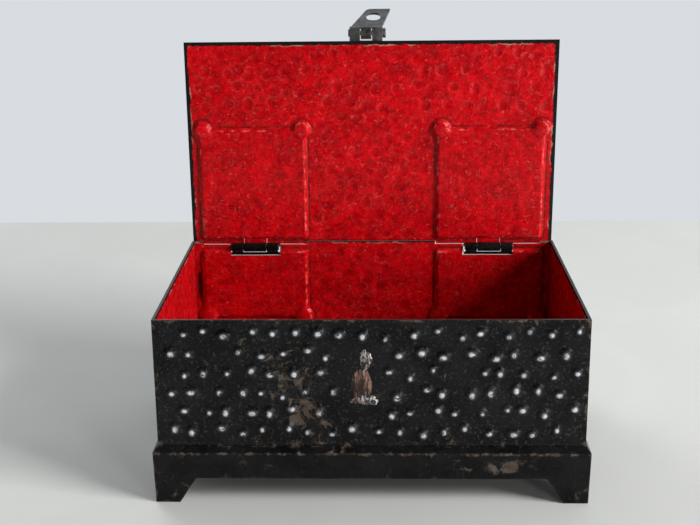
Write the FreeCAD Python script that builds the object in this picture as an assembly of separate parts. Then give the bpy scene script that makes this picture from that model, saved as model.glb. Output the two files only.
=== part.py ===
"""Small hammered sheet-metal casket on a bracket-footed plinth, lid open and hasp thrown back.

Millimetres, +X to the right seen from the front, +Y to the back, +Z up, z = 0 on the table.
The pieces of the lid and the hasp are laid out with the lid shut, then swung to the open rest pose.
"""
import FreeCAD, Part
import math
import os

os.makedirs("parts", exist_ok=True)

V = FreeCAD.Vector
X_AXIS = V(1, 0, 0)
Y_AXIS = V(0, 1, 0)
Z_AXIS = V(0, 0, 1)

# Body: four mitred walls that lean out a little toward the foot
RIM_WIDTH = 160.0
RIM_DEPTH = 90.2
RIM_HEIGHT = 75.0
SHEET = 1.0
FLARE = 1.0

# Plinth: a skirt with a sloped shoulder and bracket feet cut from the same strip
LIP_HEIGHT = 23.8
LIP_EDGE = 0.4
SHOULDER_HEIGHT = 21.5
SHOULDER_REACH = 2.0
SKIRT_HEIGHT = 10.6
FOOT_TOE = 9.4
FOOT_TOP = 16.0
FOOT_FILLET = 2.0

# Floor sheet, soldered between the walls
FLOOR_HEIGHT = 20.5
WALL_TAIL = 1.0

# Raised hammered bosses on every outer face
BOSS_RADIUS = 2.5
BOSS_RISE = 0.8
BOSS_ROOT = 0.3
BOSS_SIDES = 6
BOSS_CROWN = 0.58
BOSS_CROWN_RISE = 0.76
BOSS_PITCH = 8.3
BOSS_ROW_PITCH = 7.3
BOSS_JITTER = 1.7
BOSS_MARGIN = 3.6
BOSS_FOOT_OVERLAP = 0.3
BOSS_RIM_OVERLAP = 0.6
BOSS_MISSING = 0.07

# Lid and its two hinges
LID_GAP = 0.4
OPEN_ANGLE = 94.5
HINGE_INSET = 28.0
AXIS_INSET = 0.6
AXIS_DROP = 2.8
BARREL_RADIUS = 1.95
PIN_RADIUS = 0.9
PIN_PLAY = 0.05
PIN_HEAD_RADIUS = 1.3
PIN_HEAD = 0.4
MIDDLE_KNUCKLE = 10.0
SIDE_KNUCKLE = 5.0
KNUCKLE_GAP = 0.3
STOP_GAP = 0.35
NOTCH_SIDE_GAP = 0.5
NOTCH_DEPTH = 6.0
RIM_RELIEF = 1.3

# Eared hinge leaves, each lying in a panel pressed inward from the sheet
LEAF = 1.0
PRESS = 1.3
LEAF_WIDTH = 44.6
LEAF_PLAY = 0.2
LID_LEAF_LENGTH = 51.8
BODY_LEAF_LENGTH = 34.8
EAR_RADIUS = 2.6
EAR_SIDES = 12
EAR_INSET = 0.6
EAR_BEYOND = 3.4
RIVET_RADIUS = 1.0
RIVET_PLAY = 0.05
RIVET_OUTER_RADIUS = 2.1
RIVET_OUTER_RISE = 1.0
RIVET_INNER_RADIUS = 2.7
RIVET_INNER_RISE = 1.2
RIVET_SIDES = 10

# Hasp at the front edge of the lid
HASP_CENTRE = -2.0
HASP_BARREL = 2.7
HASP_REACH = 3.2
HASP_KNUCKLE = 4.5
HASP_LEAF = 0.9
HASP_LEAF_LENGTH = 9.0
HASP_PIN_RADIUS = 1.0
HASP_HEAD_RADIUS = 2.1
HASP_HEAD = 1.4
HASP_TAIL_RADIUS = 1.6
HASP_TAIL = 0.6
STRAP_THICKNESS = 1.0
STRAP_OFFSET = 1.6
STRAP_LENGTH = 26.0
STRAP_BASE_WIDTH = 13.4
STRAP_TIP_WIDTH = 10.4
STRAP_SWAY = 5.4
STRAP_CORNER = 3.0
STRAP_GAP = 0.35
SLOT_CENTRE = 16.0
SLOT_LENGTH = 9.5
SLOT_WIDTH = 6.0
STRAP_LIFT = 13.0

# Solder left on the front wall where the staple tore away
SOLDER_X = -1.8
UPPER_SOLDER_DROP = 15.5
UPPER_SOLDER_WIDTH = 5.6
UPPER_SOLDER_HEIGHT = 8.0
UPPER_SOLDER_RISE = 0.8
LOWER_SOLDER_DROP = 32.2
LOWER_SOLDER_WIDTH = 10.6
LOWER_SOLDER_HEIGHT = 4.2
LOWER_SOLDER_RISE = 0.5
SOLDER_SIDES = 10

half_width = RIM_WIDTH / 2
half_depth = RIM_DEPTH / 2
hinge_middle = half_width - HINGE_INSET
lean = math.atan2(FLARE, RIM_HEIGHT - LIP_HEIGHT)
wall_foot = FLOOR_HEIGHT - WALL_TAIL
lid_under = RIM_HEIGHT + LID_GAP
lid_top = lid_under + SHEET
hinge_y = half_depth - AXIS_INSET
hinge_z = RIM_HEIGHT - AXIS_DROP
barrel_length = MIDDLE_KNUCKLE + 2 * SIDE_KNUCKLE + 2 * KNUCKLE_GAP
notch_width = barrel_length + 2 * PIN_HEAD + 2 * NOTCH_SIDE_GAP
ear_x = LEAF_WIDTH / 2 - EAR_INSET
panel_start = AXIS_DROP + BARREL_RADIUS + STOP_GAP
hasp_y = -half_depth - HASP_REACH
hasp_z = lid_top + HASP_BARREL


def spread(z):
    """Distance of the walls' outer faces beyond the rim at one height."""
    return FLARE * (RIM_HEIGHT - z) / (RIM_HEIGHT - LIP_HEIGHT)


def frame_at(origin, along, up):
    """Placement whose x, y and z run along a face, up the face and out of it."""
    out = along.cross(up)
    rows = (along.x, up.x, out.x, origin.x, along.y, up.y, out.y, origin.y)
    return FreeCAD.Placement(FreeCAD.Matrix(*rows, along.z, up.z, out.z, origin.z, 0, 0, 0, 1))


rise = math.cos(lean)
tilt = math.sin(lean)
FRAMES = {
    "front": frame_at(V(0, -half_depth, RIM_HEIGHT), X_AXIS, V(0, tilt, rise)),
    "back": frame_at(V(0, half_depth, RIM_HEIGHT), -X_AXIS, V(0, -tilt, rise)),
    "left": frame_at(V(-half_width, 0, RIM_HEIGHT), -Y_AXIS, V(tilt, 0, rise)),
    "right": frame_at(V(half_width, 0, RIM_HEIGHT), Y_AXIS, V(-tilt, 0, rise)),
    "lid": frame_at(V(0, half_depth, lid_top), X_AXIS, Y_AXIS),
}


def placed(shape, placement):
    """A copy of a shape set into a face's frame."""
    copy = shape.copy()
    copy.Placement = placement.multiply(copy.Placement)
    return copy


def polyhedron(loops):
    """Closed solid from flat corner loops."""
    faces = [Part.Face(Part.makePolygon(loop + loop[:1])) for loop in loops]
    shell = Part.makeShell(faces)
    shell.sewShape()
    solid = Part.makeSolid(shell)
    if solid.Volume < 0:
        solid.reverse()
    return solid


def box(x_low, x_high, y_low, y_high, z_low, z_high):
    """Box between six limits."""
    return Part.makeBox(x_high - x_low, y_high - y_low, z_high - z_low, V(x_low, y_low, z_low))


def ring(sides, radius_x, radius_y, z, turn=0.0):
    """Corners of a regular ring round the local z axis."""
    angles = [turn + 2 * math.pi * side / sides for side in range(sides)]
    return [V(radius_x * math.cos(a), radius_y * math.sin(a), z) for a in angles]


def dome(sides, radius_x, radius_y, height, root, crowned=True):
    """Low hammered dome on the local xy plane, with a root that reaches below it."""
    rings = [ring(sides, radius_x, radius_y, -root)] if root else []
    rings.append(ring(sides, radius_x, radius_y, 0.0))
    if crowned:
        crown_x = radius_x * BOSS_CROWN
        crown_y = radius_y * BOSS_CROWN
        rings.append(ring(sides, crown_x, crown_y, height * BOSS_CROWN_RISE))
    loops = [rings[0]]
    for low, high in zip(rings, rings[1:]):
        for side in range(sides):
            after = (side + 1) % sides
            loops.append([low[side], low[after], high[after], high[side]])
    peak = V(0, 0, height)
    for side in range(sides):
        loops.append([rings[-1][side], rings[-1][(side + 1) % sides], peak])
    return polyhedron(loops)


def prism(sides, radius, at, height):
    """Upright many-sided prism on a point."""
    low = [at + corner_point for corner_point in ring(sides, radius, radius, 0.0)]
    base = Part.Face(Part.makePolygon(low + low[:1]))
    return base.extrude(V(0, 0, height))


def scatter(number):
    """Repeatable fraction between 0 and 1 for a whole number."""
    return math.sin(number * 12.9898) * 43758.5453 % 1.0


def boss_centres(seed, half_span, low, high, keep_clear):
    """Centres of the bosses on one face: staggered rows, shaken a little, some left out."""
    rows = max(1, round((high - low) / BOSS_ROW_PITCH))
    columns = max(1, round(2 * half_span / BOSS_PITCH))
    centres = []
    for row in range(rows):
        stagger = 0.25 if row % 2 else -0.25
        for column in range(columns):
            number = seed + 97 * row + column
            x = (2 * (column + 0.5 + stagger) / columns - 1) * half_span
            x += (2 * scatter(number) - 1) * BOSS_JITTER
            y = low + (row + 0.5) * (high - low) / rows
            y += (2 * scatter(number + 5000) - 1) * BOSS_JITTER
            clear = all(abs(x - cx) > hx + BOSS_RADIUS or abs(y - cy) > hy + BOSS_RADIUS
                        for cx, cy, hx, hy in keep_clear)
            if clear and abs(x) < half_span and scatter(number + 9000) > BOSS_MISSING:
                centres.append((x, y))
    return centres


def with_bosses(plate, frame, centres, crowned):
    """A sheet with a boss raised at each centre."""
    pattern = dome(BOSS_SIDES, BOSS_RADIUS, BOSS_RADIUS, BOSS_RISE, BOSS_ROOT, crowned)
    bosses = []
    for number, (x, y) in enumerate(centres):
        turned = FreeCAD.Placement(V(x, y, 0), FreeCAD.Rotation(Z_AXIS, 60 * scatter(number)))
        bosses.append(placed(pattern, frame.multiply(turned)))
    return plate.multiFuse(bosses)


def corner(side, end, reach, z):
    """Point on the mitre at one end of a side, a given reach beyond the rim."""
    x = half_width + reach
    y = half_depth + reach
    if side in ("front", "back"):
        return V(end * x, -y if side == "front" else y, z)
    return V(-x if side == "left" else x, end * y, z)


def strip(side, profile):
    """One side of the body or plinth: a profile of (reach, height) run between two mitres."""
    ends = [[corner(side, end, reach, z) for reach, z in profile] for end in (-1, 1)]
    loops = list(ends)
    for low in range(len(profile)):
        high = (low + 1) % len(profile)
        loops.append([ends[0][low], ends[1][low], ends[1][high], ends[0][high]])
    return polyhedron(loops)


def eared_outline(length, grow, z_low, z_high):
    """Plate with two round ears at its far corners; it starts below the hinge and runs toward -y."""
    half = LEAF_WIDTH / 2 + grow
    plate = box(-half, half, -length - grow, grow - panel_start, z_low, z_high)
    height = z_high - z_low
    ears = []
    for end in (-1, 1):
        at = V(end * ear_x, -length - EAR_BEYOND + EAR_RADIUS, z_low)
        ears.append(prism(EAR_SIDES, EAR_RADIUS + grow, at, height))
    return plate.multiFuse(ears).removeSplitter()


def ear_points(length):
    """Rivet centres in the ears of a leaf."""
    return [V(end * ear_x, -length - EAR_BEYOND + EAR_RADIUS, 0) for end in (-1, 1)]


def hinge_frame(face, side):
    """Frame of a lid or back-wall face moved to one hinge."""
    middle = side * hinge_middle
    along = -middle if face == "back" else middle
    return FRAMES[face].multiply(FreeCAD.Placement(V(along, 0, 0), FreeCAD.Rotation()))


def pressed(plate, face, length):
    """A sheet with both hinge panels pressed inward and drilled for the rivets."""
    pads = []
    pockets = []
    for side in (-1, 1):
        frame = hinge_frame(face, side)
        pad = eared_outline(length, LEAF_PLAY + SHEET, -SHEET - PRESS, -SHEET / 2)
        pocket = eared_outline(length, LEAF_PLAY, -PRESS, SHEET)
        pads.append(placed(pad, frame))
        pockets.append(placed(pocket, frame))
        for point in ear_points(length):
            hole = prism(RIVET_SIDES, RIVET_RADIUS + RIVET_PLAY, point - V(0, 0, 3 * SHEET), 4 * SHEET)
            pockets.append(placed(hole, frame))
    return plate.multiFuse(pads).cut(pockets)


def rivets(face, side, length):
    """Two rivets that hold one leaf: shank, flat-backed outer head and domed inner head."""
    outer = -PRESS + LEAF
    inner = -PRESS - SHEET
    solids = []
    for point in ear_points(length):
        shank = prism(RIVET_SIDES, RIVET_RADIUS, V(0, 0, inner), outer - inner)
        head = dome(RIVET_SIDES, RIVET_OUTER_RADIUS, RIVET_OUTER_RADIUS, RIVET_OUTER_RISE, 0)
        head.translate(V(0, 0, outer))
        tail = dome(RIVET_SIDES, RIVET_INNER_RADIUS, RIVET_INNER_RADIUS, RIVET_INNER_RISE, 0)
        tail.rotate(V(0, 0, 0), X_AXIS, 180)
        tail.translate(V(0, 0, inner))
        rivet = shank.multiFuse([head, tail])
        rivet.translate(point)
        solids.append(placed(rivet.Solids[0], hinge_frame(face, side)))
    return Part.makeCompound(solids)


def drilled(leaf, face, side, length):
    """A leaf with its rivet holes."""
    holes = []
    for point in ear_points(length):
        hole = prism(RIVET_SIDES, RIVET_RADIUS + RIVET_PLAY, point - V(0, 0, 2 * LEAF), 4 * LEAF)
        holes.append(placed(hole, hinge_frame(face, side)))
    return leaf.cut(holes)


def rod(radius, x_low, x_high, y, z):
    """Round bar along X."""
    return Part.makeCylinder(radius, x_high - x_low, V(x_low, y, z), X_AXIS)


def hinge_knuckles(side, which):
    """Limits along X of the middle knuckle or of the two side knuckles of one hinge."""
    middle = side * hinge_middle
    half = MIDDLE_KNUCKLE / 2
    if which == "middle":
        return [(middle - half, middle + half)]
    near = half + KNUCKLE_GAP
    far = near + SIDE_KNUCKLE
    return [(middle - far, middle - near), (middle + near, middle + far)]


def body_leaf(side):
    """Leaf on the back wall, with the two side knuckles."""
    frame = hinge_frame("back", side)
    axis = FRAMES["back"].inverse().multVec(V(0, hinge_y, hinge_z))
    low = -PRESS
    high = -PRESS + LEAF
    parts = [placed(eared_outline(BODY_LEAF_LENGTH, 0, low, high), frame)]
    middle = side * hinge_middle
    for x_low, x_high in hinge_knuckles(side, "sides"):
        tab = box(middle - x_high, middle - x_low, -panel_start - LEAF, axis.y, low, high)
        parts.append(placed(tab, frame))
        parts.append(rod(BARREL_RADIUS, x_low, x_high, hinge_y, hinge_z))
    leaf = parts[0].multiFuse(parts[1:]).removeSplitter()
    half = barrel_length / 2
    bore = rod(PIN_RADIUS + PIN_PLAY, middle - half - LEAF, middle + half + LEAF, hinge_y, hinge_z)
    return drilled(leaf.cut(bore), "back", side, BODY_LEAF_LENGTH)


def lid_leaf(side):
    """Leaf on the lid, turned down through the notch into the middle knuckle."""
    plate = eared_outline(LID_LEAF_LENGTH, 0, -PRESS, -PRESS + LEAF)
    x_low, x_high = hinge_knuckles(side, "middle")[0]
    back = hinge_y + BARREL_RADIUS
    top = lid_top - PRESS + LEAF
    neck = box(x_low, x_high, half_depth - panel_start - LEAF, back, top - LEAF, top)
    tab = box(x_low, x_high, back - LEAF, back, hinge_z, top)
    barrel = rod(BARREL_RADIUS, x_low, x_high, hinge_y, hinge_z)
    leaf = placed(plate, hinge_frame("lid", side)).multiFuse([neck, tab, barrel]).removeSplitter()
    bore = rod(PIN_RADIUS + PIN_PLAY, x_low - LEAF, x_high + LEAF, hinge_y, hinge_z)
    return drilled(leaf.cut(bore), "lid", side, LID_LEAF_LENGTH)


def headed_pin(radius, x_low, x_high, y, z, left_head, right_head):
    """Pin with a head beyond each end; heads are (radius, length)."""
    shank = rod(radius, x_low, x_high, y, z)
    left = rod(left_head[0], x_low - left_head[1], x_low, y, z)
    right = rod(right_head[0], x_high, x_high + right_head[1], y, z)
    return shank.multiFuse([left, right]).removeSplitter()


def hinge_pin(side):
    """Peened pin of one lid hinge."""
    middle = side * hinge_middle
    head = (PIN_HEAD_RADIUS, PIN_HEAD)
    low = middle - barrel_length / 2
    high = middle + barrel_length / 2
    return headed_pin(PIN_RADIUS, low, high, hinge_y, hinge_z, head, head)


wall_profile = [
    (spread(wall_foot), wall_foot),
    (spread(RIM_HEIGHT), RIM_HEIGHT),
    (spread(RIM_HEIGHT) - SHEET, RIM_HEIGHT),
    (spread(wall_foot) - SHEET, wall_foot),
]
skirt_reach = spread(LIP_HEIGHT) + SHOULDER_REACH
lip_foot = LIP_HEIGHT - SHEET
plinth_profile = [
    (skirt_reach, 0.0),
    (skirt_reach, SHOULDER_HEIGHT),
    (spread(LIP_HEIGHT) + LIP_EDGE, LIP_HEIGHT),
    (spread(LIP_HEIGHT), LIP_HEIGHT),
    (spread(lip_foot), lip_foot),
    (skirt_reach - SHEET, SHOULDER_HEIGHT - SHEET / 2),
    (skirt_reach - SHEET, 0.0),
]


def plinth_side(side):
    """Skirt of one side with the gap between its two bracket feet cut out."""
    across = side in ("front", "back")
    half = (half_width if across else half_depth) + skirt_reach
    toe = half - FOOT_TOE
    top = half - FOOT_TOP
    outline = [V(-toe, 0, 0), V(-top, 0, SKIRT_HEIGHT), V(top, 0, SKIRT_HEIGHT), V(toe, 0, 0)]
    deep = 2 * (half_depth if across else half_width) + 4 * skirt_reach
    gap = Part.Face(Part.makePolygon(outline + outline[:1])).extrude(V(0, deep, 0))
    tops = [e for e in gap.Edges if e.BoundBox.ZMin > SKIRT_HEIGHT / 2 and e.BoundBox.YLength > deep / 2]
    gap = gap.makeFillet(FOOT_FILLET, tops)
    gap.translate(V(0, -deep / 2, 0))
    if not across:
        gap.rotate(V(0, 0, 0), Z_AXIS, 90)
    return strip(side, plinth_profile).cut(gap)


def wall_bosses(side, seed, keep_clear):
    """Boss centres of one wall between the rim and the plinth."""
    half = (half_width if side in ("front", "back") else half_depth) - BOSS_MARGIN
    low = -(RIM_HEIGHT - LIP_HEIGHT) / rise + BOSS_RADIUS - BOSS_FOOT_OVERLAP
    return boss_centres(seed, half, low, BOSS_RIM_OVERLAP - BOSS_RADIUS, keep_clear)


def panel_clearances(length):
    """Rectangles (centre, half sizes) of the pressed panels in a face's frame."""
    half = LEAF_WIDTH / 2 + EAR_RADIUS + LEAF_PLAY
    deep = (length + EAR_BEYOND + LEAF_PLAY) / 2
    return [(side * hinge_middle, -deep, half, deep + LEAF_PLAY) for side in (-1, 1)]


# Walls
staple_drop = (UPPER_SOLDER_DROP + LOWER_SOLDER_DROP) / 2
staple_half = (LOWER_SOLDER_DROP - UPPER_SOLDER_DROP + UPPER_SOLDER_HEIGHT) / 2
staple_zone = [(SOLDER_X, -staple_drop, LOWER_SOLDER_WIDTH / 2, staple_half)]
front_wall = with_bosses(strip("front", wall_profile), FRAMES["front"],
                         wall_bosses("front", 11, staple_zone), True)
left_wall = with_bosses(strip("left", wall_profile), FRAMES["left"], wall_bosses("left", 4011, []), False)
right_wall = with_bosses(strip("right", wall_profile), FRAMES["right"], wall_bosses("right", 6011, []), False)
back_wall = pressed(strip("back", wall_profile), "back", BODY_LEAF_LENGTH)
relief_half = LEAF_WIDTH / 2 + LEAF_PLAY + SHEET
for side in (-1, 1):
    notch = box(-notch_width / 2, notch_width / 2, -NOTCH_DEPTH, SHEET, -4 * SHEET, SHEET)
    relief = box(-relief_half, relief_half, -RIM_RELIEF, SHEET, -4 * SHEET, SHEET)
    frame = hinge_frame("back", side)
    back_wall = back_wall.cut([placed(notch, frame), placed(relief, frame)])
back_zones = panel_clearances(BODY_LEAF_LENGTH)
back_wall = with_bosses(back_wall, FRAMES["back"], wall_bosses("back", 8011, back_zones), False)

# Floor
floor_panel = Part.makeLoft([
    Part.makePolygon([V(a * (half_width + spread(z) - SHEET), b * (half_depth + spread(z) - SHEET), z)
                      for a, b in ((-1, -1), (1, -1), (1, 1), (-1, 1), (-1, -1))])
    for z in (FLOOR_HEIGHT, FLOOR_HEIGHT + SHEET)], True, True)

# Lid sheet, shut
lid_panel = box(-half_width, half_width, -half_depth, half_depth, lid_under, lid_top)
lid_panel = pressed(lid_panel, "lid", LID_LEAF_LENGTH)
neck_half = MIDDLE_KNUCKLE / 2 + LEAF_PLAY
for side in (-1, 1):
    notch = box(-neck_half, neck_half, -panel_start, SHEET, -PRESS, SHEET)
    lid_panel = lid_panel.cut(placed(notch, hinge_frame("lid", side)))
hasp_zone = (HASP_CENTRE, -RIM_DEPTH, 2 * HASP_KNUCKLE, HASP_LEAF_LENGTH + BOSS_RADIUS)
lid_zones = panel_clearances(LID_LEAF_LENGTH) + [hasp_zone]
lid_span = half_width - BOSS_MARGIN
lid_bosses = boss_centres(12011, lid_span, BOSS_RADIUS - RIM_DEPTH, -BOSS_RADIUS, lid_zones)
lid_panel = with_bosses(lid_panel, FRAMES["lid"], lid_bosses, False)

# Hasp: knuckle limits along X, then leaf, strap and pin with the lid shut
hasp_half = HASP_KNUCKLE / 2
hasp_far = hasp_half + KNUCKLE_GAP + HASP_KNUCKLE
hasp_low = HASP_CENTRE - hasp_far
hasp_high = HASP_CENTRE + hasp_far
strap_start = HASP_BARREL + STRAP_GAP
hasp_plate = box(hasp_low, hasp_high, hasp_y, -half_depth + HASP_LEAF_LENGTH, lid_top, lid_top + HASP_LEAF)
window_half = hasp_half + KNUCKLE_GAP
hasp_window = box(HASP_CENTRE - window_half, HASP_CENTRE + window_half, hasp_y - 2 * HASP_BARREL,
                  hasp_y + strap_start, lid_top - SHEET, hasp_z + 2 * HASP_BARREL)
hasp_rod = rod(HASP_BARREL, hasp_low, hasp_high, hasp_y, hasp_z)
hasp_bore = rod(HASP_PIN_RADIUS + PIN_PLAY, hasp_low - SHEET, hasp_high + SHEET, hasp_y, hasp_z)
hasp_lid_leaf = hasp_plate.fuse(hasp_rod).cut([hasp_window, hasp_bore])
hasp_pin = headed_pin(HASP_PIN_RADIUS, hasp_low, hasp_high, hasp_y, hasp_z,
                      (HASP_TAIL_RADIUS, HASP_TAIL), (HASP_HEAD_RADIUS, HASP_HEAD))


def strap_edge(along, end):
    """Sideways place of the strap's edge at a distance from the pin, which leans off to one side."""
    share = (along - strap_start) / (STRAP_LENGTH - strap_start)
    half = (STRAP_BASE_WIDTH + share * (STRAP_TIP_WIDTH - STRAP_BASE_WIDTH)) / 2
    return HASP_CENTRE + share * STRAP_SWAY + end * half


def hasp_strap_flat():
    """Strap lying along +y from its pin on the x axis, its wall side up."""
    low = STRAP_OFFSET - STRAP_THICKNESS
    ends = [(strap_start, -1), (strap_start, 1), (STRAP_LENGTH, 1), (STRAP_LENGTH, -1)]
    outline = [V(strap_edge(along, end), along, low) for along, end in ends]
    blade = Part.Face(Part.makePolygon(outline + outline[:1])).extrude(V(0, 0, STRAP_THICKNESS))
    tip = strap_edge(STRAP_LENGTH, -1)
    uprights = [e for e in blade.Edges if e.BoundBox.ZLength > STRAP_THICKNESS / 2
                and abs(e.BoundBox.XMin - tip) < 0.01]
    blade = blade.makeFillet(STRAP_CORNER, uprights)
    tongue = box(HASP_CENTRE - hasp_half, HASP_CENTRE + hasp_half, 0, strap_start + SHEET, low, STRAP_OFFSET)
    barrel = rod(HASP_BARREL, HASP_CENTRE - hasp_half, HASP_CENTRE + hasp_half, 0, 0)
    middle = (strap_edge(SLOT_CENTRE, -1) + strap_edge(SLOT_CENTRE, 1)) / 2
    reach = (SLOT_LENGTH - SLOT_WIDTH) / 2
    ends = (SLOT_CENTRE - reach, SLOT_CENTRE + reach)
    radius = SLOT_WIDTH / 2
    slot = box(middle - radius, middle + radius, *ends, low - STRAP_THICKNESS, low + 2 * STRAP_THICKNESS)
    deep = 3 * STRAP_THICKNESS
    rounds = [Part.makeCylinder(radius, deep, V(middle, end, low - STRAP_THICKNESS)) for end in ends]
    bore = rod(HASP_PIN_RADIUS + PIN_PLAY, HASP_CENTRE - HASP_KNUCKLE, HASP_CENTRE + HASP_KNUCKLE, 0, 0)
    return blade.multiFuse([tongue, barrel]).removeSplitter().cut([slot, bore] + rounds)


hasp_strap = hasp_strap_flat()
hasp_strap.rotate(V(0, 0, 0), X_AXIS, STRAP_LIFT + OPEN_ANGLE)
hasp_strap.translate(V(0, hasp_y, hasp_z))

# Solder on the front wall
upper_solder = dome(SOLDER_SIDES, UPPER_SOLDER_WIDTH / 2, UPPER_SOLDER_HEIGHT / 2, UPPER_SOLDER_RISE, 0)
lower_solder = dome(SOLDER_SIDES, LOWER_SOLDER_WIDTH / 2, LOWER_SOLDER_HEIGHT / 2, LOWER_SOLDER_RISE, 0)
upper_solder.translate(V(SOLDER_X, -UPPER_SOLDER_DROP, 0))
lower_solder.translate(V(SOLDER_X, -LOWER_SOLDER_DROP, 0))
staple_solder = Part.makeCompound([placed(lump, FRAMES["front"]) for lump in (upper_solder, lower_solder)])

base_nodes = {
    "front_wall": front_wall,
    "back_wall": back_wall,
    "left_wall": left_wall,
    "right_wall": right_wall,
    "floor_panel": floor_panel,
    "plinth_front": plinth_side("front"),
    "plinth_back": plinth_side("back"),
    "plinth_left": plinth_side("left"),
    "plinth_right": plinth_side("right"),
    "staple_solder": staple_solder,
}
lid_nodes = {
    "lid_panel": lid_panel,
    "hasp_lid_leaf": hasp_lid_leaf,
    "hasp_pin": hasp_pin,
    "hasp_strap": hasp_strap,
}
for name, side in (("left", -1), ("right", 1)):
    base_nodes[name + "_hinge_body_leaf"] = body_leaf(side)
    base_nodes[name + "_hinge_body_rivets"] = rivets("back", side, BODY_LEAF_LENGTH)
    base_nodes[name + "_hinge_pin"] = hinge_pin(side)
    lid_nodes[name + "_hinge_lid_leaf"] = lid_leaf(side)
    lid_nodes[name + "_hinge_lid_rivets"] = rivets("lid", side, LID_LEAF_LENGTH)
for shape in lid_nodes.values():
    shape.rotate(V(0, hinge_y, hinge_z), X_AXIS, -OPEN_ANGLE)

# The frame's y = 0 is midway between the plinth's front and the hindmost point of the open box
nodes = {**base_nodes, **lid_nodes}
front_most = min(shape.BoundBox.YMin for shape in nodes.values())
back_most = max(shape.BoundBox.YMax for shape in nodes.values())
for name, shape in nodes.items():
    shape.translate(V(0, -(front_most + back_most) / 2, 0))
    shape.exportStep("parts/" + name + ".step")
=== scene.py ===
"""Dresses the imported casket: hammered black sheet outside, worn red paint inside, lid open.

Everything is in metres in the CAD frame: +X right, +Y to the back, +Z up, z = 0 on the table.
"""

import logging
import math
from dataclasses import dataclass, field
from enum import Enum

import bmesh
import bpy
import numpy as np
from bpy.types import Material, Mesh, MeshPolygon, Node, NodeSocket, NodeTree, Object
from mathutils import Matrix, Vector

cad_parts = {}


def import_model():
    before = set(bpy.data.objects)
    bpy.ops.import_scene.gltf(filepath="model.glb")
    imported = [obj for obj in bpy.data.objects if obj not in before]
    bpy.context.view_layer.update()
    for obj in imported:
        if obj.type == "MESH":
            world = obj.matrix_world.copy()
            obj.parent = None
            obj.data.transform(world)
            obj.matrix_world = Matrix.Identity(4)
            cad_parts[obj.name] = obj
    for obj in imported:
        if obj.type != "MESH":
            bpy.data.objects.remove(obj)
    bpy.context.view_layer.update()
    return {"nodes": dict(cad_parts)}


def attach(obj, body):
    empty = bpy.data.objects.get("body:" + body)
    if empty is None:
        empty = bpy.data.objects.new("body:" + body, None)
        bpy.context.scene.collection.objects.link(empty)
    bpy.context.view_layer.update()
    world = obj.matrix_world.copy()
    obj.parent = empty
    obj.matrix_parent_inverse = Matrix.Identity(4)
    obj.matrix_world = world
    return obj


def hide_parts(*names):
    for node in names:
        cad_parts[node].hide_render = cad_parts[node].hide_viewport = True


log = logging.getLogger("casket")
MM = 0.001
MIX_SHARE, MIX_FIRST, MIX_SECOND, MIX_COLOUR = 0, 6, 7, 2
BMesh, BMVert = bmesh.types.BMesh, bmesh.types.BMVert
Array = np.ndarray
Colour = tuple[float, float, float, float]
Place = tuple[float, float, float]
Span = tuple[float, float]


class Body(Enum):
    """Moving bodies of the casket."""

    BASE = "base"
    LID = "lid"
    HASP = "hasp"


class Slot(Enum):
    """Material slots of the record."""

    BLACK = "black_paint"
    RED = "red_paint"
    WORN = "worn_steel"
    BARE = "bare_steel"
    SOLDER = "solder"


class Skin(Enum):
    """Material places on a hammered sheet."""

    OUTSIDE = 0
    INSIDE = 1
    EDGE = 2


@dataclass(frozen=True)
class Sizes:
    """Driving sizes of the casket in metres, the same as the CAD's."""

    half_width: float = 80.0 * MM
    half_depth: float = 45.1 * MM
    rim: float = 75.0 * MM
    lip: float = 23.8 * MM
    flare: float = 1.0 * MM
    sheet: float = 1.0 * MM
    wall_foot: float = 19.5 * MM
    lid_gap: float = 0.4 * MM
    axis_inset: float = 0.6 * MM
    axis_drop: float = 2.8 * MM
    open_angle: float = math.radians(94.5)
    shift: float = -17.8792 * MM
    boss_radius: float = 2.5 * MM
    boss_rise: float = 0.8 * MM
    hinge_half: float = 52.0 * MM
    panel_start: float = 5.1 * MM
    leaf: float = 1.0 * MM
    leaf_half: float = 22.3 * MM
    leaf_play: float = 0.2 * MM
    lid_leaf: float = 51.8 * MM
    body_leaf: float = 34.8 * MM
    ear_radius: float = 2.6 * MM
    ear_x: float = 21.7 * MM
    ear_beyond: float = 3.4 * MM
    press: float = 1.3 * MM
    notch_half: float = 11.2 * MM
    notch_depth: float = 6.0 * MM
    relief_half: float = 23.5 * MM
    relief_depth: float = 1.3 * MM
    neck_half: float = 5.2 * MM
    rivet_radius: float = 2.1 * MM
    rivet_rise: float = 1.0 * MM

    @property
    def lean(self) -> float:
        """Angle by which the walls lean out toward the foot."""
        return math.atan2(self.flare, self.rim - self.lip)

    @property
    def lid_top(self) -> float:
        """Height of the shut lid's outer face."""
        return self.rim + self.lid_gap + self.sheet

    @property
    def axis(self) -> Vector:
        """Point on the lid's hinge axis in the shared frame."""
        return Vector((0.0, self.half_depth - self.axis_inset + self.shift, self.rim - self.axis_drop))


@dataclass(frozen=True)
class Relief:
    """Shape of the hammering and pressing that the CAD leaves plain, in metres and shares."""

    peak_share: float = 0.93
    boss_spread: float = 1.12
    boss_power: float = 1.5
    tallest: float = 1.1
    size_swing: Span = (0.16, 7.3)
    squash_swing: Span = (0.14, 3.7)
    wave: float = 0.06 * MM
    wave_fade: float = 4.0 * MM
    wave_octaves: int = 4
    wave_pitch: float = 0.11
    wave_growth: float = 1.7
    wave_turn: float = 2.1
    wave_phase: float = 3.1
    wave_curl: float = 1.3
    outer_run: float = 0.9 * MM
    inner_run: Span = (0.2 * MM, 1.5 * MM)
    ear_skirt: float = 1.6 * MM
    ear_swell: float = 0.75 * MM
    hinged_setback: float = 1.2 * MM
    crease_angle: float = math.radians(52)


SIZES = Sizes()
RELIEF = Relief()


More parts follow.
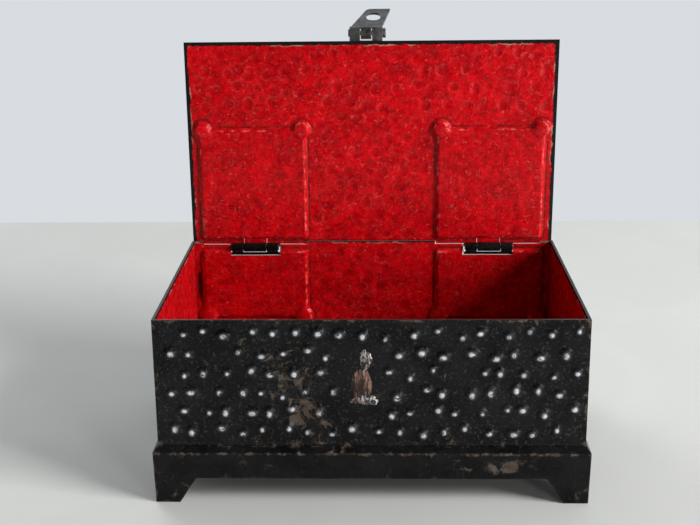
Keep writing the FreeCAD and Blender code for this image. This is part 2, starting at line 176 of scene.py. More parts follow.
@dataclass(frozen=True)
class Face:
    """Outer face of a sheet: an origin with directions along it, up it and out of it."""

    origin: Vector
    along: Vector
    up: Vector

    @property
    def out(self) -> Vector:
        """Direction out of the face."""
        return self.along.cross(self.up)

    def points(self, x: Array, y: Array, z: Array) -> Array:
        """Places of local coordinates in the shared frame.

        Args:
            x: Distances along the face.
            y: Distances up the face.
            z: Distances out of the face.

        Returns:
            Array of points with three columns.
        """
        axes = np.array([self.along, self.up, self.out])
        return np.array(self.origin) + np.stack([x, y, z], axis=-1) @ axes

    def point(self, x: float, y: float, z: float) -> Vector:
        """Place of one local coordinate in the shared frame."""
        return Vector(self.points(np.array(x), np.array(y), np.array(z)))

    def local(self, points: Array) -> Array:
        """Local coordinates of points in the shared frame."""
        return (points - np.array(self.origin)) @ np.array([self.along, self.up, self.out]).T


def wall_face(side: str) -> Face:
    """Outer face of one wall, with its origin in the middle of the rim.

    Args:
        side: Which wall: front, back, left or right.

    Returns:
        The face in the shared frame.
    """
    tilt, rise = math.sin(SIZES.lean), math.cos(SIZES.lean)
    wide, deep = SIZES.half_width, SIZES.half_depth
    layout = {
        "front": ((0, -deep), (1, 0), (0, tilt)),
        "back": ((0, deep), (-1, 0), (0, -tilt)),
        "left": ((-wide, 0), (0, -1), (tilt, 0)),
        "right": ((wide, 0), (0, 1), (-tilt, 0)),
    }
    at, along, up = layout[side]
    origin = Vector((at[0], at[1] + SIZES.shift, SIZES.rim))
    return Face(origin, Vector((*along, 0)), Vector((*up, rise)))


def lid_face() -> Face:
    """Outer face of the lid, swung open from the shut place."""
    swing = Matrix.Rotation(-SIZES.open_angle, 3, "X")
    shut = Vector((0, SIZES.half_depth + SIZES.shift, SIZES.lid_top))
    origin = SIZES.axis + swing @ (shut - SIZES.axis)
    return Face(origin, Vector((1, 0, 0)), swing @ Vector((0, 1, 0)))


def smooth(low: float, high: float, value: Array) -> Array:
    """Smooth step from 0 at low to 1 at high."""
    share = np.clip((value - low) / (high - low), 0.0, 1.0)
    return share * share * (3.0 - 2.0 * share)


def ruled(low: float, high: float, stops: list[float], step: float) -> Array:
    """Grid lines between two ends that pass through every stop.

    Args:
        low: First line.
        high: Last line.
        stops: Places that need a line of their own.
        step: Widest gap between lines.

    Returns:
        Sorted places of the lines.
    """
    marks = sorted({low, high, *[s for s in stops if low < s < high]})
    lines: list[float] = [low]
    for start, end in zip(marks, marks[1:]):
        count = max(1, math.ceil((end - start) / step))
        lines.extend(start + (end - start) * (i + 1) / count for i in range(count))
    return np.array(lines)


def waviness(x: Array, y: Array, seed: float) -> Array:
    """Smooth seeded waves between about -1 and 1 over a face, for places in millimetres."""
    total = np.zeros_like(x)
    for octave in range(RELIEF.wave_octaves):
        turn = seed + RELIEF.wave_turn * octave
        pitch = RELIEF.wave_pitch * RELIEF.wave_growth ** octave
        crest = x * math.cos(turn) + y * math.sin(turn)
        side = y * math.cos(turn) - x * math.sin(turn)
        bend = RELIEF.wave_curl * np.sin(pitch * side + turn)
        total += np.sin(pitch * crest + RELIEF.wave_phase * turn + bend)
    return total / RELIEF.wave_octaves


def ear_spots(middle: float, length: float) -> list[Span]:
    """Centres of a hinge leaf's two ears, across and up its sheet."""
    down = -length - SIZES.ear_beyond + SIZES.ear_radius
    return [(middle + end * SIZES.ear_x, down) for end in (-1, 1)]


@dataclass
class Panel:
    """Eared hinge panel pressed into a sheet, in the sheet's local coordinates."""

    middle: float
    length: float

    def distance(self, x: Array, y: Array) -> Array:
        """Distance outside the hinge leaf's outline, negative inside it."""
        half_tall = (self.length - SIZES.panel_start) / 2
        across = np.abs(x - self.middle) - SIZES.leaf_half
        upward = np.abs(y + SIZES.panel_start + half_tall) - half_tall
        beyond = np.hypot(np.maximum(across, 0), np.maximum(upward, 0))
        gap = beyond + np.minimum(np.maximum(across, upward), 0)
        for ear_x, ear_y in ear_spots(self.middle, self.length):
            gap = np.minimum(gap, np.hypot(x - ear_x, y - ear_y) - SIZES.ear_radius)
        return gap

    def ears(self, x: Array, y: Array) -> Array:
        """Round swelling over the ears, from 0 to 1 each."""
        total = np.zeros_like(x)
        for ear_x, ear_y in ear_spots(self.middle, self.length):
            away = np.hypot(x - ear_x, y - ear_y) / (SIZES.ear_radius + RELIEF.ear_skirt)
            total += np.sqrt(np.clip(1.0 - away ** 2, 0.0, 1.0))
        return total


@dataclass
class HammeredSheet:
    """Double-skinned hammered sheet that stands for one CAD node."""

    node: str
    face: Face
    body: Body
    low: float
    half: float
    flare: float = 0.0
    seed: float = 0.0
    panels: list[Panel] = field(default_factory=list)
    notches: list[tuple[float, float, float]] = field(default_factory=list)
    step: float = 0.7 * MM
    dent: float = 0.24 * MM
    proud: float = 1.25
    painted_notches: bool = False

    def bosses(self, cad: Object) -> Array:
        """Centres of the hammered bosses, taken from the peaks of the CAD node."""
        points = np.array([v.co for v in cad.data.vertices], float)
        local = self.face.local(points)
        peaks = local[local[:, 2] > RELIEF.peak_share * SIZES.boss_rise][:, :2]
        return np.unique(np.round(peaks / MM, 1), axis=0) * MM

    def lines(self) -> tuple[Array, Array]:
        """Grid lines across and up the sheet."""
        step = self.step
        sides = [s for middle, half, _ in self.notches for s in (middle - half, middle + half)]
        floors = [-deep for _, _, deep in self.notches]
        return ruled(-self.half, self.half, sides, step), ruled(self.low, 0.0, floors, step)

    def swing(self, number: int, swing: Span) -> float:
        """Share near 1 that differs from boss to boss."""
        reach, beat = swing
        return 1.0 + reach * math.sin(beat * number + self.seed)

    def relief(self, x: Array, y: Array, centres: Array) -> tuple[Array, Array]:
        """Rise of the bosses and nearness to their crowns at each place of the sheet."""
        rise = np.zeros_like(x)
        crown = np.zeros_like(x)
        for number, (cx, cy) in enumerate(centres):
            size = self.swing(number, RELIEF.size_swing)
            squash = self.swing(number, RELIEF.squash_swing)
            reach = SIZES.boss_radius * RELIEF.boss_spread * size
            near = np.hypot((x - cx) * squash, (y - cy) / squash) / reach
            share = np.clip(1.0 - near ** 2, 0.0, 1.0) ** RELIEF.boss_power
            rise = np.maximum(rise, size * share)
            crown = np.maximum(crown, share)
        return np.clip(rise, 0.0, RELIEF.tallest), crown

    def build(self, cad: Object, skins: list[Material]) -> Object:
        """Makes the sheet's mesh and lets it stand for its node.

        Args:
            cad: The CAD node that gives the boss centres.
            skins: Materials in the order of Skin.

        Returns:
            The new piece.
        """
        across, upward = self.lines()
        x, y = np.meshgrid(across, upward)
        rise, crown = self.relief(x, y, self.bosses(cad))
        spread = -y * math.cos(SIZES.lean) * self.flare / (SIZES.rim - SIZES.lip)
        mitre = SIZES.sheet if self.flare else 0.0
        outside_x = x * (1.0 + spread / self.half)
        inside_x = x * (1.0 + (spread - mitre) / self.half)
        behind = inside_x / (1.0 + spread / self.half)
        edge = np.minimum(self.half - np.abs(x), np.minimum(-y, y - self.low))
        wave = waviness(x / MM, y / MM, self.seed) * RELIEF.wave * smooth(0.0, RELIEF.wave_fade, edge)
        outside_z = self.proud * SIZES.boss_rise * rise + wave
        inside_z = -SIZES.sheet + self.dent * rise + wave
        crease = np.full_like(x, self.half)
        outer_end = SIZES.leaf_play + RELIEF.outer_run
        for panel in self.panels:
            inner_gap = panel.distance(behind, y)
            crease = np.minimum(crease, inner_gap)
            outside_z -= SIZES.press * (1.0 - smooth(SIZES.leaf_play, outer_end, panel.distance(x, y)))
            inside_z -= SIZES.press * (1.0 - smooth(*RELIEF.inner_run, inner_gap))
            inside_z -= RELIEF.ear_swell * panel.ears(behind, y)
        outer = self.face.points(outside_x, y, outside_z).reshape(-1, 3)
        inner = self.face.points(inside_x, y, inside_z).reshape(-1, 3)
        mesh = self.skin_mesh(outer, inner, self.kept_cells(across, upward), x.shape)
        free = self.border(y)
        outside_border = np.minimum(free, self.half - np.abs(x))
        inside_border = free if self.flare else outside_border
        attribute(mesh, "rim", outside_border / MM, inside_border / MM)
        attribute(mesh, "crown", crown, crown)
        attribute(mesh, "crease", crease / MM, crease / MM)
        drop_loose(mesh)
        mesh.set_sharp_from_angle(angle=RELIEF.crease_angle)
        piece = bpy.data.objects.new(f"{self.node}_hammered", mesh)
        for material in skins:
            mesh.materials.append(material)
        return settle(piece, self.body, Slot.BLACK, self.node)

    def kept_cells(self, across: Array, upward: Array) -> Array:
        """Mask of the grid cells that are metal, with the notches left out."""
        cx = (across[:-1] + across[1:]) / 2
        cy = (upward[:-1] + upward[1:]) / 2
        gx, gy = np.meshgrid(cx, cy)
        keep = np.ones_like(gx, dtype=bool)
        for middle, half, deep in self.notches:
            keep &= ~((np.abs(gx - middle) < half) & (gy > -deep))
        return keep

    def border(self, y: Array) -> Array:
        """Distance from the rim or the lid's long edges, with hinged edges set back."""
        top = -y + (RELIEF.hinged_setback if self.notches else 0.0)
        edge = top if self.flare else np.minimum(top, y - self.low)
        return np.maximum(edge, 0.0)

    def skin_mesh(self, outer: Array, inner: Array, keep: Array,
                  shape: tuple[int, int]) -> Mesh:
        """Closed mesh from two skins of one grid, joined along every free edge.

        Args:
            outer: Points of the outer skin, row by row.
            inner: Points of the inner skin, row by row.
            keep: Mask of the grid cells that are metal.
            shape: Rows and columns of the grid.

        Returns:
            The mesh, with the Skin of each face as its material number.
        """
        rows, columns = shape
        count = rows * columns
        number = np.arange(count).reshape(rows, columns)
        a, b = number[:-1, :-1][keep], number[:-1, 1:][keep]
        c, d = number[1:, 1:][keep], number[1:, :-1][keep]
        front = np.stack([a, b, c, d], axis=1)
        back = np.stack([d, c, b, a], axis=1) + count
        edges = np.concatenate([front[:, [0, 1]], front[:, [1, 2]], front[:, [2, 3]], front[:, [3, 0]]])
        key = np.sort(edges, axis=1)
        _, first, times = np.unique(key, axis=0, return_index=True, return_counts=True)
        rim = edges[first[times == 1]]
        rim_faces = np.stack([rim[:, 1], rim[:, 0], rim[:, 0] + count, rim[:, 1] + count], axis=1)
        quads = np.concatenate([front, back, rim_faces])
        mesh = bpy.data.meshes.new(self.node)
        mesh.from_pydata(np.concatenate([outer, inner]).tolist(), [], quads.tolist())
        places = np.full(len(quads), Skin.EDGE.value, dtype=np.int32)
        if self.painted_notches:
            columns_at, rows_at = rim % columns, rim // columns
            inner_edge = ((columns_at > 0) & (columns_at < columns - 1) & (rows_at > 0)).all(axis=1)
            notch = inner_edge & (rows_at < rows - 1).any(axis=1)
            places[2 * len(front):][notch] = Skin.INSIDE.value
        places[: len(front)] = Skin.OUTSIDE.value
        places[len(front): 2 * len(front)] = Skin.INSIDE.value
        mesh.polygons.foreach_set("material_index", places)
        shade_smooth(mesh)
        return mesh


def drop_loose(mesh: Mesh) -> None:
    """Deletes the points of a mesh that belong to no face."""
    work = bmesh.new()
    work.from_mesh(mesh)
    bmesh.ops.delete(work, geom=[v for v in work.verts if not v.link_faces], context="VERTS")
    work.to_mesh(mesh)
    work.free()


def shade_smooth(mesh: Mesh) -> None:
    """Shades every face of a mesh smooth."""
    mesh.polygons.foreach_set("use_smooth", np.ones(len(mesh.polygons), dtype=bool))


def attribute(mesh: Mesh, name: str, outside: Array, inside: Array) -> None:
    """Stores one number per point of a sheet's two skins."""
    layer = mesh.attributes.new(name, "FLOAT", "POINT")
    values = np.concatenate([outside.ravel(), inside.ravel()])
    layer.data.foreach_set("value", values.astype(np.float32))


def link(piece: Object) -> None:
    """Puts an object into the scene."""
    bpy.context.scene.collection.objects.link(piece)


def settle(piece: Object, body: Body, slot: Slot, *nodes: str) -> Object:
    """Links a piece, lets it ride a body and stand for CAD nodes.

    Args:
        piece: The new object.
        body: Body that carries it.
        slot: Material slot of the record; not used.
        nodes: CAD nodes that it stands for.

    Returns:
        The same object.
    """
    link(piece)
    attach(piece, body.value)
    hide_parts(*nodes)
    log.info("%s: %d faces on %s", piece.name, len(piece.data.polygons), body.value)
    return piece


@dataclass(frozen=True)
class Spot:
    """Soft ellipsoid on the casket, in millimetres, with the share of its radius that is full."""

    centre: Place
    radii: Place
    core: float


FLAKED = Spot((-28.0, -64.0, 49.0), (17.0, 8.0, 27.0), 0.2)
FLAKED_BELOW = Spot((-20.0, -64.0, 34.0), (13.0, 8.0, 10.0), 0.2)
SKIRT_PATCH = Spot((48.0, -66.0, 16.0), (26.0, 8.0, 5.5), 0.2)
BURNT_PATCH = Spot((-3.2, -63.5, 49.0), (5.6, 4.0, 9.5), 0.3)
# Painted shadow: a dark streak on the back wall's inside at the left edge of its left hinge panel.
PANEL_EDGE_SHADOW = Spot((-77.6, 27.0, 54.0), (1.3, 3.0, 9.0), 0.6)


@dataclass(frozen=True)
class Value:
    """Output of a shader node, whose arithmetic adds nodes to the same tree."""

    graph: "Graph"
    socket: NodeSocket

    def __add__(self, other: object) -> "Value":
        """Sum with another value or a number."""
        return self.graph.math("ADD", self, other)

    def __sub__(self, other: object) -> "Value":
        """Difference from another value or a number."""
        return self.graph.math("SUBTRACT", self, other)

    def __rsub__(self, other: object) -> "Value":
        """A number less this value."""
        return self.graph.math("SUBTRACT", other, self)

    def __mul__(self, other: object) -> "Value":
        """Product with another value or a number."""
        return self.graph.math("MULTIPLY", self, other)

    def away(self, middle: float) -> "Value":
        """How far the value is from a middle, either way."""
        return self.graph.math("ABSOLUTE", self - middle)

    def step(self, low: object, high: object) -> "Value":
        """Smooth step from 0 at low to 1 at high, falling where low is the larger number."""
        falls = isinstance(low, float) and isinstance(high, float) and low > high
        start, end = (high, low) if falls else (low, high)
        inputs = {"Value": self, "From Min": start, "From Max": end,
                  "To Min": float(falls), "To Max": float(not falls)}
        return self.graph.made("ShaderNodeMapRange", "Result", inputs,
                               interpolation_type="SMOOTHSTEP", clamp=True)

    def span(self, low: float, high: float) -> "Value":
        """The value's 0..1 as low..high."""
        inputs = {"Value": self, "To Min": low, "To Max": high}
        return self.graph.made("ShaderNodeMapRange", "Result", inputs, clamp=True)


@dataclass
class Graph:
    """Short calls for building one shader node tree."""

    tree: NodeTree

    def node(self, kind: str, inputs: dict[int | str, object], **settings: object) -> Node:
        """Adds a node, sets its properties and feeds its inputs.

        Args:
            kind: Type of the node.
            inputs: Values to link or plain values to set, by the input's number or name.
            settings: Properties of the node.

        Returns:
            The new node.
        """
        node = self.tree.nodes.new(kind)
        for name, value in settings.items():
            setattr(node, name, value)
        for key, value in inputs.items():
            if isinstance(value, Value):
                self.tree.links.new(value.socket, node.inputs[key])
            else:
                node.inputs[key].default_value = value
        return node

    def made(self, kind: str, output: int | str, inputs: dict[int | str, object],
             **settings: object) -> Value:
        """One output of a new node."""
        return Value(self, self.node(kind, inputs, **settings).outputs[output])

    def math(self, operation: str, first: object, second: object = 0.0) -> Value:
        """Result of one Math node."""
        return self.made("ShaderNodeMath", 0, {0: first, 1: second}, operation=operation)

    def vector(self, operation: str, first: object, second: object) -> Value:
        """Result of one Vector Math node."""
        output = "Value" if operation in ("LENGTH", "DOT_PRODUCT") else "Vector"
        return self.made("ShaderNodeVectorMath", output, {0: first, 1: second}, operation=operation)

    def mix(self, share: object, first: object, second: object) -> Value:
        """Colour between two colours."""
        inputs = {MIX_SHARE: share, MIX_FIRST: first, MIX_SECOND: second}
        return self.made("ShaderNodeMix", MIX_COLOUR, inputs, data_type="RGBA", clamp_factor=True)

    def split(self, vector: Value, which: int) -> Value:
        """One coordinate of a vector."""
        return self.made("ShaderNodeSeparateXYZ", which, {0: vector})

    def noise(self, place: Value, scale: object, detail: float = 3.0, rough: float = 0.55,
              twist: float = 0.0) -> Value:
        """Grey value of a Noise Texture."""
        inputs = {"Vector": place, "Scale": scale, "Detail": detail, "Roughness": rough, "Distortion": twist}
        return self.made("ShaderNodeTexNoise", "Fac", inputs)

    def give(self, **outputs: Value) -> NodeTree:
        """Closes a node group with named grey outputs."""
        for label in outputs:
            self.tree.interface.new_socket(label, in_out="OUTPUT", socket_type="NodeSocketFloat")
        self.node("NodeGroupOutput", outputs)
        return self.tree


def new_group(name: str, **numbers: float) -> tuple[Graph, list[Value]]:
    """Opens a shader node group that takes a Place and some numbers.

    Args:
        name: Name of the group.
        numbers: Names of the number inputs with their defaults.

    Returns:
        The graph, and the values of its inputs with the place first.
    """
    tree = bpy.data.node_groups.new(name, "ShaderNodeTree")
    tree.interface.new_socket("Place", in_out="INPUT", socket_type="NodeSocketVector")
    for label, default in numbers.items():
        socket = tree.interface.new_socket(label, in_out="INPUT", socket_type="NodeSocketFloat")
        socket.default_value = default
    graph = Graph(tree)
    given = graph.node("NodeGroupInput", {})
    return graph, [Value(graph, given.outputs[label]) for label in ("Place", *numbers)]


class Effects:
    """Wear effects that several finishes share, each a node group built once."""

    chip_level = 0.86
    chip_gain = 0.62
    chip_edge = 0.035
    chip_rim = 0.06
    fine_ratio = 7.0
    rub_gain = 6.0

    def __init__(self) -> None:
        """Builds every group."""
        self.chips = self.make_chips()
        self.scratches = self.make_scratches()
        self.mottle = self.make_mottle()
        self.edges = self.make_edges()

    def make_chips(self) -> NodeTree:
        """Flaked paint: ragged islands that grow as Amount goes from 0 to 1."""
        graph, (place, scale, amount) = new_group("paint_chips", Scale=200.0, Amount=0.3)
        coarse = graph.noise(place, scale, detail=5.0, rough=0.68, twist=0.6)
        level = self.chip_level - amount * self.chip_gain
        mask = coarse.step(level, level + self.chip_edge)
        return graph.give(Mask=mask, Rim=coarse.step(level - self.chip_rim, level))

    def make_scratches(self) -> NodeTree:
        """Fine curling hairlines that break off."""
        graph, (place, scale, width) = new_group("curled_scratches", Scale=120.0, Width=0.012)
        loops = graph.noise(place, scale, detail=1.0, rough=0.4, twist=2.2)
        line = 1.0 - loops.away(0.5).step(0.0, width)
        return graph.give(Mask=line * graph.noise(place, 190.0, detail=2.0).step(0.46, 0.6))

    def make_mottle(self) -> NodeTree:
        """Cloudy brushed variation of a paint film."""
        graph, (place, scale) = new_group("paint_mottle", Scale=70.0)
        cloud = graph.noise(place, scale, detail=5.0, rough=0.62, twist=0.8)
        fine = graph.noise(place, scale * self.fine_ratio, rough=0.6, twist=0.3)
        return graph.give(Cloud=cloud.step(0.34, 0.68), Fine=fine.step(0.3, 0.7))

    def make_edges(self) -> NodeTree:
        """Rubbed edges: where a rounded normal departs from the face's own, broken up by noise."""
        graph, (place, radius, reach) = new_group("edge_rub", Radius=0.6 * MM, Reach=0.5)
        rounded = graph.made("ShaderNodeBevel", "Normal", {"Radius": radius}, samples=4)
        flat = graph.made("ShaderNodeNewGeometry", "Normal", {})
        turned = 1.0 - graph.vector("DOT_PRODUCT", rounded, flat)
        ragged = graph.noise(place, 420.0, detail=4.0, rough=0.65)
        return graph.give(Mask=(turned * self.rub_gain * (ragged + reach)).step(0.25, 0.75))


@dataclass
class Surface(Graph):
    """Node tree of one material, with the place on the piece and the shared effects."""

    effects: Effects
    rub_reach: float = 0.35

    def __post_init__(self) -> None:
        """Finds the place on the piece, in metres of the shared frame."""
        self.place = self.made("ShaderNodeTexCoord", "Object", {})

    def stored(self, name: str) -> Value:
        """Number stored on the mesh points."""
        return self.made("ShaderNodeAttribute", "Fac", {}, attribute_name=name)

    def grain(self, scale: float, **shape: float) -> Value:
        """Noise over the piece."""
        return self.noise(self.place, scale, **shape)

    def group(self, made: NodeTree, **inputs: object) -> dict[str, Value]:
        """Outputs of a shared effect by name, at the place on the piece unless told otherwise."""
        fed = {"Place": self.place} | {name.title(): value for name, value in inputs.items()}
        placed = self.node("ShaderNodeGroup", fed, node_tree=made)
        return {socket.name: Value(self, socket) for socket in placed.outputs}

    def rub(self, radius: float) -> Value:
        """Mask of the rubbed edges for one edge radius in metres."""
        return self.group(self.effects.edges, radius=radius, reach=self.rub_reach)["Mask"]

    def blob(self, spot: Spot) -> Value:
        """Soft mask of one spot."""
        away = self.vector("SUBTRACT", self.place, tuple(c * MM for c in spot.centre))
        scaled = self.vector("DIVIDE", away, tuple(r * MM for r in spot.radii))
        return self.vector("LENGTH", scaled, (0.0, 0.0, 0.0)).step(1.0, spot.core)


@dataclass
class Coat:
    """What a finish gives its shader; relief is the bump's strength and depth."""

    colour: Value
    rough: Value
    height: Value | None = None
    relief: Span = (0.4, 0.12 * MM)
    metal: object = 0.0
    shine: float = 0.5


@dataclass(frozen=True)
class Finish:
    """Surface finish with a name; its dress method says what the shader gets."""

    name: str

    def make(self, effects: Effects) -> Material:
        """Builds the material.

        Args:
            effects: The shared wear groups.

        Returns:
            The finished material.
        """
        material = bpy.data.materials.new(self.name)
        material.use_nodes = True
        material.node_tree.nodes.clear()
        on = Surface(material.node_tree, effects)
        coat = self.dress(on)
        inputs = {"Base Color": coat.colour, "Roughness": coat.rough, "Metallic": coat.metal,
                  "Specular IOR Level": coat.shine}
        if coat.height is not None:
            strength, depth = coat.relief
            bump = {"Strength": strength, "Distance": depth, "Height": coat.height}
            inputs["Normal"] = on.made("ShaderNodeBump", "Normal", bump)
        shader = on.node("ShaderNodeBsdfPrincipled", inputs)
        out = on.node("ShaderNodeOutputMaterial", {})
        on.tree.links.new(shader.outputs["BSDF"], out.inputs["Surface"])
        return material

    def dress(self, on: Surface) -> Coat:
        """Works out the coat on one material's surface."""
        raise NotImplementedError


class Wear(Enum):
    """Where a black paint film is worn through."""

    SHEET = "sheet"
    PLINTH = "plinth"
    LEAF = "leaf"


@dataclass(frozen=True)
class BlackPaint(Finish):
    """Glossy black paint with painted highlights and rubbing on the boss crowns, rubbed on edges, flaked to
    brown metal and rust.
    """

    wear: Wear = Wear.SHEET
    paint: Colour = (0.003, 0.003, 0.0034, 1.0)
    grey: Colour = (0.009, 0.009, 0.0092, 1.0)
    bare: Colour = (0.105, 0.088, 0.075, 1.0)
    rust: Colour = (0.075, 0.052, 0.037, 1.0)
    soil: Colour = (0.05, 0.04, 0.035, 1.0)
    # halo and crown are painted highlight colours for the boss domes: a grey glow and a bluish-white core.
    # The core also stands for paint rubbed off the crowns.
    highlight_halo: Colour = (0.075, 0.075, 0.08, 1.0)
    crown: Colour = (0.80, 0.82, 0.88, 1.0)
    speck: Colour = (0.06, 0.058, 0.055, 1.0)
    soot: Colour = (0.03, 0.02, 0.016, 1.0)
    scorch: Colour = (0.30, 0.17, 0.13, 1.0)
    gloss: Span = (0.17, 0.3)
    shine: float = 0.13
    rim_reach: float = 2.2
    foot: Span = (30.0 * MM, 23.5 * MM)
    shoulder: float = 21.2 * MM
    shoulder_reach: float = 1.3 * MM
    toe_top: float = 9.0 * MM
    skirt_edge: float = 1.2 * MM
    leaf_edge: float = 0.8 * MM
    streak: Place = (1.0, 1.0, 0.3)

    def flaking(self, on: Surface) -> Value:
        """Amount of flaking over the surface, more where the paint has suffered."""
        if self.wear is Wear.LEAF:
            return on.rub(self.leaf_edge) * 0.12 + 0.3
        height = on.split(on.place, 2)
        if self.wear is Wear.PLINTH:
            shoulder = height.away(self.shoulder).step(self.shoulder_reach, 0.0)
            toes = height.step(self.toe_top, 0.0)
            amount = shoulder * 0.26 + 0.315 + toes * 0.13 + on.blob(SKIRT_PATCH) * 0.24
            return amount + on.rub(self.skirt_edge) * 0.16
        flaked = on.math("MAXIMUM", on.blob(FLAKED), on.blob(FLAKED_BELOW))
        rim = on.stored("rim").step(self.rim_reach, 0.0)
        return flaked * 0.25 + 0.29 + rim * 0.2 + height.step(*self.foot) * 0.12

    def crowned_with_highlights(self, on: Surface, film: Value) -> tuple[Value, Value]:
        """Film with painted highlights on the bosses, partly paint rubbed off, and specked all over, and the
        mask of the bright crowns.
        """
        crown, ragged = on.stored("crown"), on.grain(620.0, detail=5.0, rough=0.7)
        # Painted highlight: a grey glow over each boss dome.
        highlight_halo = crown.step(0.3, 0.95) * ragged.step(0.3, 0.62)
        # Painted highlight core on each crown, partly paint rubbed to bare metal; it also sets the metallic
        # share.
        rubbed = crown.step(0.72, 0.98) * ragged.step(0.34, 0.54)
        specks = on.group(on.effects.chips, scale=900.0, amount=0.45)["Mask"]
        film = on.mix(rubbed * 0.9, on.mix(highlight_halo, film, self.highlight_halo), self.crown)
        return on.mix(specks * 0.6, film, self.speck), rubbed

    def scorched(self, on: Surface, colour: Value) -> Value:
        """Colour with the streaky burnt patch where the staple was soldered."""
        drawn = on.vector("MULTIPLY", on.place, self.streak)
        streaks = on.noise(drawn, 700.0, detail=4.0, rough=0.65)
        burnt = (on.blob(BURNT_PATCH) + streaks * 0.9).step(0.78, 1.15)
        return on.mix(burnt, colour, on.mix(streaks.step(0.42, 0.66), self.soot, self.scorch))

    def dress(self, on: Surface) -> Coat:
        """Film, then flaked ground, then the burnt patch."""
        mottle = on.group(on.effects.mottle, scale=60.0)
        chips = on.group(on.effects.chips, scale=230.0, amount=self.flaking(on))
        scratches = on.group(on.effects.scratches, scale=90.0, width=0.008)["Mask"]
        film = on.mix(mottle["Cloud"], self.paint, self.grey)
        film = on.mix(scratches * 0.25, film, self.bare)
        metal: object = 0.0
        if self.wear is Wear.SHEET:
            # The bosses get painted highlights on their crowns.
            film, rubbed = self.crowned_with_highlights(on, film)
            metal = rubbed * 0.2
        rusty = on.grain(150.0, detail=4.0, rough=0.6).step(0.42, 0.6)
        ground = on.mix(mottle["Fine"] * 0.4, on.mix(rusty, self.bare, self.rust), self.soil)
        colour = on.mix(chips["Mask"], on.mix(chips["Rim"] * 0.35, film, self.rust), ground)
        if self.wear is Wear.SHEET:
            colour = self.scorched(on, colour)
        rough = mottle["Fine"].span(*self.gloss) + chips["Mask"] * 0.32
        height = mottle["Fine"] * 0.6 + on.grain(800.0, detail=4.0, rough=0.6) - chips["Mask"] * 0.4
        return Coat(colour, rough, height, (0.5, 0.22 * MM), metal, self.shine)


@dataclass(frozen=True)
class RedPaint(Finish):
    """Glossy worn red paint with cloudy variation, hairlines, stains and bare edges, with painted shade and
    painted highlights on the dimples and panels and a painted shadow streak.
    """

    # deep is the film's darker tone, and also the painted shade in the dimples.
    deep: Colour = (0.26, 0.002, 0.004, 1.0)
    bright: Colour = (0.80, 0.003, 0.008, 1.0)
    # pale is for flecks and curls, and also the painted highlights at dimple brows and panel ridges.
    pale: Colour = (0.95, 0.20, 0.17, 1.0)
    # dark is for stains, and also the painted shade in the panel creases and the painted shadow streak.
    dark: Colour = (0.05, 0.008, 0.006, 1.0)
    steel: Colour = (0.40, 0.27, 0.20, 1.0)
    black: Colour = (0.012, 0.010, 0.010, 1.0)
    gloss: Span = (0.15, 0.27)
    shine: float = 0.13
    aside: Place = (0.3, 0.1, 0.2)
    has_rim: bool = True

    def dimple_shading_and_wear(self, on: Surface, film: Value) -> Value:
        """Film with painted shade in the hollows behind the bosses and a painted highlight, partly rubbed
        paint, at their brows.
        """
        crown = on.stored("crown")
        # Painted shade: the dimple centres darkened.
        film = on.mix(crown.step(0.2, 0.95) * 0.4, film, self.deep)
        # Painted highlight ring round each dimple's brow, partly rubbed paint.
        brow_highlight = crown.away(0.12).step(0.16, 0.0) * on.grain(240.0).step(0.46, 0.66)
        return on.mix(brow_highlight * 0.14, film, self.pale)

    def panel_shading_and_wear(self, on: Surface, film: Value) -> Value:
        """Film with painted shade, partly grime, in the crease round the pressed panels and a painted
        highlight, partly rubbed paint, on their ridge.
        """
        crease, ragged = on.stored("crease"), on.grain(260.0, detail=4.0, rough=0.65)
        # Painted shade along the foot of each panel's slope, partly grime.
        crease_shade_and_grime = crease.away(2.1).step(0.75, 0.1) * ragged.step(0.34, 0.58)
        # Painted highlight along each panel's ridge, partly rubbed paint.
        rubbed = crease.away(0.5).step(0.55, 0.1) * ragged.step(0.5, 0.66)
        return on.mix(rubbed * 0.6, on.mix(crease_shade_and_grime * 0.75, film, self.dark), self.pale)

    def rim_wear(self, on: Surface, film: Value) -> Value:
        """Film with a ragged black border and bare metal along it."""
        rim = on.stored("rim") + on.grain(300.0, detail=4.0, rough=0.65) * -2.6
        line = rim.step(1.0, 0.4) * on.grain(130.0).step(0.5, 0.64)
        return on.mix(rim.step(0.4, 0.1), on.mix(line * 0.85, film, self.steel), self.black)

    def dress(self, on: Surface) -> Coat:
        """Cloudy film, then hairlines, stains and a painted shadow streak, then the painted shade, painted
        highlights and wear of a hammered sheet.
        """
        chips, scratches = on.effects.chips, on.effects.scratches
        mottle = on.group(on.effects.mottle, scale=95.0)
        grain = on.grain(520.0, detail=6.0, rough=0.72, twist=0.8)
        aside = on.vector("ADD", on.place, self.aside)
        veins = on.group(scratches, scale=210.0, width=0.03)["Mask"]
        curls = on.group(scratches, place=aside, scale=170.0, width=0.018)["Mask"]
        flecks = on.group(chips, place=aside, scale=560.0, amount=0.4)["Mask"]
        stains = on.group(chips, scale=150.0, amount=0.31)["Mask"]
        film = on.mix(mottle["Cloud"] * 0.35 + grain.step(0.36, 0.66) * 0.65, self.deep, self.bright)
        for mask, colour in (
            (veins * 0.3, self.deep), (curls * 0.13, self.pale), (flecks * 0.25, self.pale),
            # Dark stains, then a painted shadow streak beside the back wall's left panel.
            (stains * 0.7, self.dark), (on.blob(PANEL_EDGE_SHADOW), self.dark),
        ):
            film = on.mix(mask, film, colour)
        if self.has_rim:
            # The dimple and panel steps paint shade and highlights as well as wear; the rim step is wear.
            for wear in (self.dimple_shading_and_wear, self.panel_shading_and_wear, self.rim_wear):
                film = wear(on, film)
        rough = mottle["Fine"].span(*self.gloss) + stains * 0.25
        height = grain * 1.2 + mottle["Fine"] * 0.4 - curls * 0.5
        return Coat(film, rough, height, shine=self.shine)


